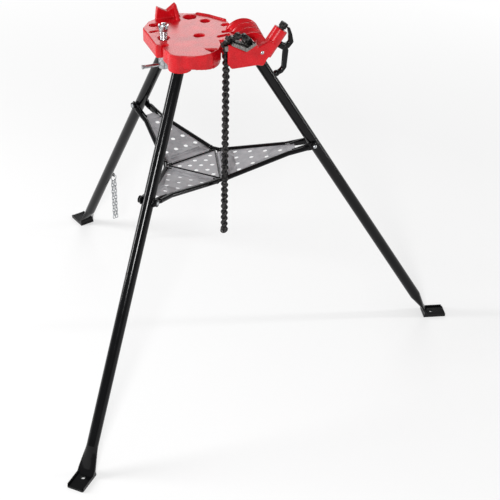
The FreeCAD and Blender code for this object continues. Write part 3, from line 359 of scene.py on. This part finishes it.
# the deck and the tray are laid out about the point where the legs' axes meet
standMiddle = Vector((-90.444, -90.444, 0)) * mm
castings = {
    "base_casting": {"piece": "deckCasting", "voxelMm": 1.75, "passes": 3},
    "bender_drum": {"piece": "benderDrum", "voxelMm": 1.1, "passes": 3},
    "vise_yoke": {"piece": "viseYoke", "voxelMm": 1.1, "passes": 8},
}


def addWall(work, inner, outer, low, high):
    # a closed upright wall between two outlines given in mm about the stand's middle
    rings = []
    for outline, height in ((inner, high), (outer, high), (outer, low), (inner, low)):
        rings.append([work.verts.new(standMiddle + Vector((x, y, height)) * mm) for x, y in outline])
    for near, far in zip(rings, rings[1:] + rings[:1]):
        for index in range(len(near)):
            after = (index + 1) % len(near)
            work.faces.new((near[index], near[after], far[after], far[index]))


# holes as x, y, length and width, and the notch by its corners, in mm about the stand's middle
wellLook = {"holes": ((6, 104, 34, 30), (35, 67, 25, 22), (-10, -14, 27, 22), (-97, 84, 26, 18)),
            "notch": ((-25, -92), (-14, -119), (8, -103)), "notchGrowth": 1.5, "wallMm": 4.5,
            "lowMm": 899.0, "highMm": 925.0, "steps": 36}


def addWells(work):
    # cored holes have a wall below the plate, which keeps the light out of them
    look = wellLook
    heights = look["lowMm"], look["highMm"]
    turns = [math.tau * (step + 0.5) / look["steps"] for step in range(look["steps"])]
    for x, y, length, width in look["holes"]:
        # two half rounds with straight sides between them, inside the wall and outside it
        half = (length - width) / 2
        outlines = []
        for radius in (width / 2, width / 2 + look["wallMm"]):
            outlines.append([(x + math.copysign(half, math.cos(turn)) + radius * math.cos(turn),
                              y + radius * math.sin(turn)) for turn in turns])
        addWall(work, *outlines, *heights)
    notch = [Vector(corner) for corner in look["notch"]]
    middle = sum(notch, Vector((0, 0))) / len(notch)
    around = [middle + (corner - middle) * look["notchGrowth"] for corner in notch]
    addWall(work, notch, around, *heights)
    bmesh.ops.recalc_face_normals(work, faces=work.faces)


hornLook = {"middle": (-48.0, 124.0), "reachMm": 34.0, "fromMm": 936.0, "liftMm": 9.0, "leanMm": 3.0}


def raiseHorns(work):
    # the pipe rest's valley and two horns stand higher and lean a little
    look = hornLook
    middle = standMiddle + Vector((*look["middle"], 0)) * mm
    for vert in work.verts:
        out = vert.co - middle
        inReach = max(abs(out.x), abs(out.y)) < look["reachMm"] * mm
        if inReach and vert.co.z > look["fromMm"] * mm:
            vert.co += Vector((-look["leanMm"], 0, look["liftMm"])) * mm


for nodeName, settings in castings.items():
    work = copyOfNode(nodeName)
    if nodeName == "base_casting":
        addWells(work)
        raiseHorns(work)
    piece = putInScene(settings["piece"], work, castEnamel, "stand")
    soften(piece, settings)
    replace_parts(piece, nodeName)
print("castings softened")

handleLook = {"voxelMm": 0.8, "passes": 14}
forgedHandle = putInScene("forgedHandle", copyOfNode("screw_handle"), tubeEnamel, "handle")
soften(forgedHandle, handleLook)
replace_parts(forgedHandle, "screw_handle")

keeperLook = {"voxelMm": 0.5, "passes": 5}
keeperWire = putInScene("keeperWire", copyOfNode("keeper_chain"), zincPlate, "keeper")
soften(keeperWire, keeperLook)
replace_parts(keeperWire, "keeper_chain")
print("handle and keeper chain rounded")

# rolled thread on the brace screw's shank: the profile is in shares of its depth and its pitch
threadLook = {"pitchMm": 3.6, "depthMm": 1.1, "crestMm": 9.45,
              "profile": ((0, 0.0), (1, 0.32), (1, 0.52), (0, 0.84), (0, 1.0)), "stepsPerTurn": 28,
              "spareTurns": 2, "headMm": 17, "lapMm": 0.5, "footMm": 0.2, "weldMm": 0.01}


def braceThread():
    look = threadLook
    low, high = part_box("brace_screw")
    pitch = look["pitchMm"] * mm
    length = high[2] - look["headMm"] * mm - low[2]
    turns = math.ceil(length / pitch) + look["spareTurns"]
    start = Vector(((low[0] + high[0]) / 2, (low[1] + high[1]) / 2, low[2] - pitch))
    root = look["crestMm"] - look["depthMm"]
    work = bmesh.new()
    verts = [work.verts.new(start + Vector(((root + rise * look["depthMm"]) * mm, 0, share * pitch)))
             for rise, share in look["profile"]]
    edges = [work.edges.new(pair) for pair in zip(verts, verts[1:])]
    bmesh.ops.spin(work, geom=verts + edges, cent=start, axis=(0, 0, 1), angle=math.tau * turns,
                   steps=turns * look["stepsPerTurn"], dvec=Vector((0, 0, pitch / look["stepsPerTurn"])))
    bmesh.ops.remove_doubles(work, verts=work.verts, dist=look["weldMm"] * mm)
    cutAway(work, low[2] + look["footMm"] * mm, True)
    cutAway(work, low[2] + length + look["lapMm"] * mm, False)
    bmesh.ops.recalc_face_normals(work, faces=work.faces)
    return putInScene("braceThread", work, zincPlate, "brace_post")


crownLook = {"voxelMm": 0.45, "passes": 4}


def braceCrown():
    # crown head turned and milled from the bar, down to a little below the thread's end
    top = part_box("brace_screw")[1][2]
    work = copyOfNode("brace_screw")
    cutAway(work, top - (threadLook["headMm"] + threadLook["lapMm"]) * mm, True)
    soften(putInScene("braceCrown", work, zincPlate, "brace_post"), crownLook)


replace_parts(braceThread(), "brace_screw")
braceCrown()
print("brace screw threaded")

# the tray's layout: each wing is drawn flat, with its crease along Y at the origin
tray = {"creaseMm": 52.65, "heightMm": 546.0, "slopeDegrees": 12.72, "pivotMm": 258.8, "sheetMm": 2.2}
wingNames = ("left_wing", "right_wing", "back_wing")
legDegrees = (-135, -15, 105)
roundSteps = 24


def legTurn(index):
    return Matrix.Rotation(math.radians(legDegrees[index]), 4, "Z")


def wingFrame(index):
    # from a wing's flat drawing to its place, with +X towards the leg's pivot
    crease = Matrix.Translation((tray["creaseMm"] * mm, 0, tray["heightMm"] * mm))
    slope = Matrix.Rotation(math.radians(-tray["slopeDegrees"]), 4, "Y")
    return Matrix.Translation(standMiddle) @ legTurn(index) @ crease @ slope


def addBall(work, centre, radius, squash=1.0, along=(0, 0, 1)):
    # a ball, flattened along a direction when squash is under 1
    ball = bmesh.ops.create_uvsphere(work, u_segments=roundSteps, v_segments=roundSteps // 2,
                                     radius=radius * mm)
    stand = Vector(along).to_track_quat("Z", "Y").to_matrix().to_4x4()
    place = Matrix.Translation(Vector(centre) * mm) @ stand @ Matrix.Diagonal((1, 1, squash, 1))
    bmesh.ops.transform(work, verts=ball["verts"], matrix=place)


def addBar(work, start, end, radius):
    # a round bar between two points in mm
    start, end = Vector(start) * mm, Vector(end) * mm
    bar = bmesh.ops.create_cone(work, cap_ends=True, segments=roundSteps, radius1=radius * mm,
                                radius2=radius * mm, depth=(end - start).length)
    stand = (end - start).to_track_quat("Z", "Y").to_matrix().to_4x4()
    bmesh.ops.transform(work, verts=bar["verts"], matrix=Matrix.Translation((start + end) / 2) @ stand)


def addPlate(work, outline, thickness, middle=0.0):
    # a flat plate with its outline in mm, at a height over the drawing's plane
    layers = [[work.verts.new(Vector((x, y, middle + side * thickness / 2)) * mm) for x, y in outline]
              for side in (-1, 1)]
    work.faces.new(layers[0])
    work.faces.new(layers[1])
    for index in range(len(outline)):
        after = (index + 1) % len(outline)
        work.faces.new((layers[0][index], layers[0][after], layers[1][after], layers[1][index]))
    bmesh.ops.recalc_face_normals(work, faces=work.faces)


def sharpenCorners(piece):
    piece.data.set_sharp_from_angle(angle=math.radians(tolerances["cornerDegrees"]))


def finishPiece(name, work, matrix, material, body):
    # a drawing goes to its place as a clean piece
    bmesh.ops.transform(work, verts=work.verts, matrix=matrix)
    bmesh.ops.remove_doubles(work, verts=work.verts, dist=tolerances["pieceMm"] * mm)
    bmesh.ops.recalc_face_normals(work, faces=work.faces)
    piece = putInScene(name, work, material, body)
    sharpenCorners(piece)
    return piece


def finishOnWing(name, work, index, material):
    return finishPiece("%s%d" % (name, index + 1), work, wingFrame(index), material, wingNames[index])


# black edge bars of a wing: knob at the crease, bend at the sheet's narrow end, end outside the cheek
barLook = {"stops": ((10.1, 75.6), (184.8, 26.1), (238.0, 22.6)), "radiusMm": 6.6, "knobMm": 7.4}


def trayBars(index):
    look = barLook
    work = bmesh.new()
    for side in (-1, 1):
        stops = [(x, side * y, 0) for x, y in look["stops"]]
        addBall(work, stops[0], look["knobMm"])
        for start, end in zip(stops, stops[1:]):
            addBar(work, start, end, look["radiusMm"])
            addBall(work, end, look["radiusMm"])
    finishOnWing("trayBars", work, index, tubeEnamel)


# two cheeks that straddle the leg, with the heads of the pivot's bolt
forkLook = {"cheek": ((196, -5), (246, -11), (266, -10), (272, 0), (266, 10), (246, 11), (196, 5)),
            "cheekMm": 4.0, "cheekOutMm": 17.7, "bevelMm": 0.6, "boltMm": 9.5, "boltOutMm": (19.7, 25.7)}


def forkArms(index):
    look = forkLook
    work = bmesh.new()
    for side in (-1, 1):
        addPlate(work, look["cheek"], look["cheekMm"], side * look["cheekOutMm"])
    halfway = look["cheekMm"] / 2 * mm
    rims = [edge for edge in work.edges if abs((edge.verts[0].co - edge.verts[1].co).z) < halfway]
    bmesh.ops.bevel(work, geom=rims, offset=look["bevelMm"] * mm, affect="EDGES", segments=2, profile=0.5,
                    material=-1)
    bmesh.ops.transform(work, verts=work.verts, matrix=Matrix.Rotation(math.pi / 2, 4, "X"))
    for side in (-1, 1):
        ends = [(tray["pivotMm"], side * out, 0) for out in look["boltOutMm"]]
        addBar(work, *ends, look["boltMm"])
    arms = finishOnWing("forkArms", work, index, tubeEnamel)
    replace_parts(arms, "wing_fork_%d" % (index + 1))


# the last of a wing's holes, near the leg
holeLook = {"atMm": 166.0, "radiusMm": 6.25, "punchMm": 9}


def traySheet(index):
    # the pressed sheet with one hole more, cut by a punch that is thrown away
    look = holeLook
    nodeName = "tray_wing_%d" % (index + 1)
    sheet = putInScene("traySheet%d" % (index + 1), copyOfNode(nodeName), sheetEnamel, wingNames[index])
    ends = [(look["atMm"], 0, side * look["punchMm"]) for side in (-1, 1)]
    work = bmesh.new()
    addBar(work, *ends, look["radiusMm"])
    bmesh.ops.transform(work, verts=work.verts, matrix=wingFrame(index))
    punchMesh = bpy.data.meshes.new("punch")
    work.to_mesh(punchMesh)
    work.free()
    punch = bpy.data.objects.new("punch", punchMesh)
    scene.collection.objects.link(punch)
    cut = sheet.modifiers.new("hole", "BOOLEAN")
    cut.operation = "DIFFERENCE"
    cut.object = punch
    applyModifiers(sheet)
    bpy.data.objects.remove(punch)
    bpy.data.meshes.remove(punchMesh)
    sharpenCorners(sheet)
    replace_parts(sheet, nodeName)


# flat end of the sheet between the cheeks, by its half widths at two distances from the crease
tipLook = {"start": (184.3, 26.2), "end": (207.0, 24.6)}


def trayTip(index):
    (start, wide), (end, narrow) = tipLook["start"], tipLook["end"]
    work = bmesh.new()
    addPlate(work, [(start, -wide), (end, -narrow), (end, narrow), (start, wide)], tray["sheetMm"])
    finishOnWing("trayTip", work, index, sheetEnamel)


# domed rivet ends, left bare of paint by the riveting hammer
rivetLook = {"radiusMm": 5.2, "highMm": 2.4, "outMm": 25.7}


def pivotRivets(index):
    look = rivetLook
    work = bmesh.new()
    for side in (-1, 1):
        addBall(work, (tray["pivotMm"], side * look["outMm"], 0), look["radiusMm"],
                look["highMm"] / look["radiusMm"], (0, side, 0))
    finishOnWing("pivotRivets", work, index, zincPlate)


# rolled border of the middle panel, between two triangles with these apothems
hemLook = {"apothemsMm": (40.5, 46.9), "highMm": 3.0, "cornerFromLeg": 60}


def centreHem():
    look = hemLook
    turns = [math.radians(degrees + look["cornerFromLeg"]) for degrees in legDegrees]
    outlines = [[(2 * apothem * math.cos(turn), 2 * apothem * math.sin(turn)) for turn in turns]
                for apothem in look["apothemsMm"]]
    half = look["highMm"] / 2
    work = bmesh.new()
    addWall(work, *outlines, tray["heightMm"] - half, tray["heightMm"] + half)
    finishPiece("centreHem", work, Matrix.Identity(4), sheetEnamel, "tray")


# bars across the tray's corners from knob to knob, and a thin black rod along each side of the hem, partly
# the crease's rod and partly painted shade
linkLook = {"linkMm": 5.0, "shadeRodMm": 2.0, "shadeRodOutMm": 44.5, "shadeRodHalfMm": 74.0, "shadeRodRiseMm": 3.0}


def cornerLinksAndShadeRods():
    look = linkLook
    work = bmesh.new()
    aboutMiddle = Matrix.Translation(-standMiddle)
    x, y = barLook["stops"][0]
    for index in range(3):
        after = (index + 1) % 3
        start = aboutMiddle @ wingFrame(index) @ (Vector((x, y, 0)) * mm)
        end = aboutMiddle @ wingFrame(after) @ (Vector((x, -y, 0)) * mm)
        addBar(work, start / mm, end / mm, look["linkMm"])
        # the black rod on the hem stands for the crease's rod and for the shade in the crease's gap:
        # painted shade
        height = tray["heightMm"] + look["shadeRodRiseMm"]
        ends = [legTurn(index) @ Vector((look["shadeRodOutMm"], side * look["shadeRodHalfMm"], height))
                for side in (-1, 1)]
        addBar(work, *ends, look["shadeRodMm"])
    finishPiece("cornerLinksAndShadeRods", work, Matrix.Translation(standMiddle), tubeEnamel, "tray")


for index in range(3):
    trayBars(index)
    forkArms(index)
    traySheet(index)
    trayTip(index)
    pivotRivets(index)
centreHem()
cornerLinksAndShadeRods()
print("tray finished")

# white paper sweep: the camera and reflections see it as plain white, and it keeps a soft shadow
room = {"floorSize": 120.0, "fadeMetres": (1.3, 2.6), "floorWhite": "F2F2F2", "shadowShare": 0.55,
        "skyStrength": 0.35}


def makeFloor():
    work = bmesh.new()
    bmesh.ops.create_grid(work, x_segments=1, y_segments=1, size=room["floorSize"] / 2)
    mesh = bpy.data.meshes.new("studioFloor")
    work.to_mesh(mesh)
    work.free()
    floor = bpy.data.objects.new("studioFloor", mesh)
    scene.collection.objects.link(floor)
    material = bpy.data.materials.new("whitePaperSweep")
    material.use_nodes = True
    tree = material.node_tree
    tree.nodes.clear()
    paper = addNode(tree, "ShaderNodeBsdfDiffuse", {"Color": linear(room["floorWhite"])})
    glow = addNode(tree, "ShaderNodeEmission", {"Color": (1, 1, 1, 1), "Strength": 1.0})
    path = addNode(tree, "ShaderNodeLightPath")
    seen = addNode(tree, "ShaderNodeMath", {"operation": "ADD", "use_clamp": True},
                   {0: path.outputs["Is Camera Ray"], 1: path.outputs["Is Glossy Ray"]})
    through = addNode(tree, "ShaderNodeMath", {"operation": "ADD", "use_clamp": True},
                      {0: seen.outputs[0], 1: path.outputs["Is Transmission Ray"]})
    # the paper's own shading shows near the object and fades to plain white further out
    place = addNode(tree, "ShaderNodeTexCoord").outputs["Object"]
    away = addNode(tree, "ShaderNodeVectorMath", {"operation": "LENGTH"}, {0: place})
    near, far = room["fadeMetres"]
    white = addNode(tree, "ShaderNodeMapRange", {"From Min": near, "From Max": far,
                                                 "To Min": 1 - room["shadowShare"]},
                    {"Value": away.outputs["Value"]})
    share = addNode(tree, "ShaderNodeMath", {"operation": "MULTIPLY"},
                    {0: through.outputs[0], 1: white.outputs["Result"]})
    mix = addNode(tree, "ShaderNodeMixShader", {},
                  {"Fac": share.outputs[0], 1: paper.outputs[0], 2: glow.outputs[0]})
    addNode(tree, "ShaderNodeOutputMaterial", {}, {"Surface": mix.outputs[0]})
    mesh.materials.append(material)


def makeSky():
    # white where the camera looks past the paper, and much weaker as light and in reflections
    world = bpy.data.worlds.new("studioSky")
    scene.world = world
    world.use_nodes = True
    tree = world.node_tree
    tree.nodes.clear()
    path = addNode(tree, "ShaderNodeLightPath")
    seen = addNode(tree, "ShaderNodeMath", {"operation": "ADD", "use_clamp": True},
                   {0: path.outputs["Is Camera Ray"], 1: path.outputs["Is Transmission Ray"]})
    strength = addNode(tree, "ShaderNodeMapRange", {"To Min": room["skyStrength"], "To Max": 1.0},
                       {"Value": seen.outputs[0]})
    sky = addNode(tree, "ShaderNodeBackground", {"Color": (1, 1, 1, 1)},
                  {"Strength": strength.outputs["Result"]})
    addNode(tree, "ShaderNodeOutputWorld", {}, {"Surface": sky.outputs[0]})


# soft box in front, strips that draw a bright line down the tubes, and a box that parts the back from white
lamps = {
    "frontBox": {"place": (-1.6, -3.2, 2.2), "aim": (0, 0, 0.7), "size": (0.7, 0.7), "watts": 80},
    "leftStrip": {"place": (-2.7, 0.9, 1.6), "aim": (0, 0, 0.6), "size": (0.34, 2.2), "watts": 68},
    "rightStrip": {"place": (2.6, -0.9, 1.5), "aim": (0, 0, 0.6), "size": (0.14, 1.9), "watts": 20},
    "backBox": {"place": (1.3, 3.0, 2.4), "aim": (0, 0, 0.9), "size": (2.0, 1.5), "watts": 36},
}


def makeLamp(name, settings):
    light = bpy.data.lights.new(name, "AREA")
    light.shape = "RECTANGLE"
    light.size, light.size_y = settings["size"]
    light.energy = settings["watts"]
    lamp = bpy.data.objects.new(name, light)
    place = Vector(settings["place"])
    lamp.location = place
    lamp.rotation_euler = (Vector(settings["aim"]) - place).to_track_quat("-Z", "Y").to_euler()
    lamp.visible_camera = False
    scene.collection.objects.link(lamp)


cameraSettings = {"place": (-1.0084, -2.6552, 2.1266), "right": (0.92923, -0.36953, 0.0),
                  "up": (0.20620, 0.51850, 0.82985), "rollDegrees": 1.0388, "lensMm": 83.57,
                  "sensorMm": 36, "shift": (0.0306, -0.0152)}


def makeCamera():
    # the camera's own roll is laid over its level right and up directions
    lens = bpy.data.cameras.new("standCamera")
    lens.lens = cameraSettings["lensMm"]
    lens.sensor_width = cameraSettings["sensorMm"]
    lens.shift_x, lens.shift_y = cameraSettings["shift"]
    roll = math.radians(cameraSettings["rollDegrees"])
    right, up = Vector(cameraSettings["right"]), Vector(cameraSettings["up"])
    tiltedRight = right * math.cos(roll) + up * math.sin(roll)
    tiltedUp = up * math.cos(roll) - right * math.sin(roll)
    turn = Matrix((tiltedRight, tiltedUp, tiltedRight.cross(tiltedUp))).transposed()
    camera = bpy.data.objects.new("standCamera", lens)
    camera.matrix_world = Matrix.Translation(Vector(cameraSettings["place"])) @ turn.to_4x4()
    scene.collection.objects.link(camera)
    scene.camera = camera


makeFloor()
makeSky()
for lampName, lampSettings in lamps.items():
    makeLamp(lampName, lampSettings)
makeCamera()
print("room, lamps and camera set")
